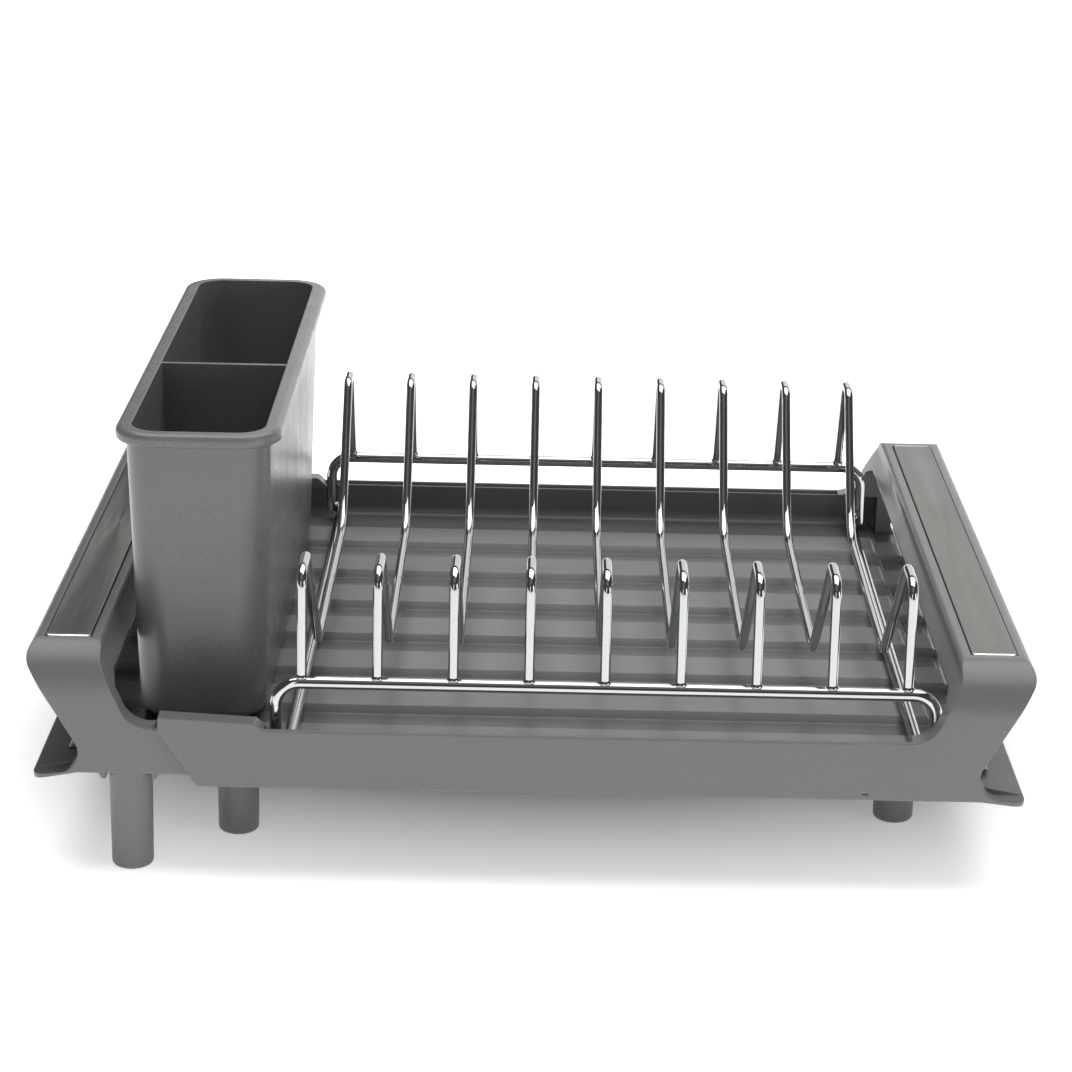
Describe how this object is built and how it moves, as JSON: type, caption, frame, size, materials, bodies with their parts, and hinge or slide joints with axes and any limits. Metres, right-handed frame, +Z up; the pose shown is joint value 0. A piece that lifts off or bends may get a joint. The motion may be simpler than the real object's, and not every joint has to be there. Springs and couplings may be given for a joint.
{
  "type": "dish drying rack",
  "caption": "Expandable dish drying rack: two sliding trays with raised handles, a wire plate rack, a divided cutlery cup and fold-down legs.",
  "frame": {"origin": "on the ground under the middle of the closed rack", "axes": "+X from the cup end to the other end (the long side), +Y from front to back, +Z up"},
  "size_m": [0.3712, 0.3192, 0.161],
  "materials": {
    "outer_tray_plastic": "matte mid grey, fine moulded grain",
    "inner_tray_plastic": "matte mid grey, fine moulded grain",
    "cup_plastic": "semi-gloss mid grey",
    "leg_plastic": "matte mid grey",
    "rack_chrome": "polished chrome wire",
    "outer_inlay_steel": "brushed along its length",
    "inner_inlay_steel": "brushed along its length",
    "pin_steel": "plain drawn wire"
  },
  "bodies": {
    "outer": {"outer_tray": "outer_tray_plastic", "outer_handle_plate": "outer_inlay_steel", "foot_front_left": "outer_tray_plastic", "foot_front_right": "outer_tray_plastic", "foot_back_left": "outer_tray_plastic", "foot_back_right": "outer_tray_plastic"},
    "inner": {"inner_tray": "inner_tray_plastic", "inner_handle_plate": "inner_inlay_steel"},
    "front_leg": {"front_folding_leg": "leg_plastic", "front_leg_pin": "pin_steel"},
    "back_leg": {"back_folding_leg": "leg_plastic", "back_leg_pin": "pin_steel"},
    "rack": {"rack_front_rail": "rack_chrome", "rack_back_rail": "rack_chrome", "rack_left_runner": "rack_chrome", "rack_right_runner": "rack_chrome", "plate_wire_1": "rack_chrome", "plate_wire_2": "rack_chrome", "plate_wire_3": "rack_chrome", "plate_wire_4": "rack_chrome", "plate_wire_5": "rack_chrome", "plate_wire_6": "rack_chrome", "plate_wire_7": "rack_chrome", "plate_wire_8": "rack_chrome", "plate_wire_9": "rack_chrome"},
    "cup": {"cutlery_cup": "cup_plastic"}
  },
  "joints": [
    {"name": "tray_extend", "type": "slide", "parent": "outer", "child": "inner", "axis": [-1, 0, 0], "range_m": [0, 0.15]},
    {"name": "front_leg_fold", "type": "hinge", "parent": "inner", "child": "front_leg", "pos_m": [-0.1484, -0.143, 0.0353], "axis": [1, 0, 0], "range_deg": [0, 90]},
    {"name": "back_leg_fold", "type": "hinge", "parent": "inner", "child": "back_leg", "pos_m": [-0.1484, 0.143, 0.0353], "axis": [-1, 0, 0], "range_deg": [0, 90]},
    {"name": "rack_lift", "type": "slide", "parent": "outer", "child": "rack", "axis": [0, 0, 1], "range_m": [0, 0.13]},
    {"name": "cup_lift", "type": "slide", "parent": "inner", "child": "cup", "axis": [0, 0, 1], "range_m": [0, 0.14]}
  ]
}
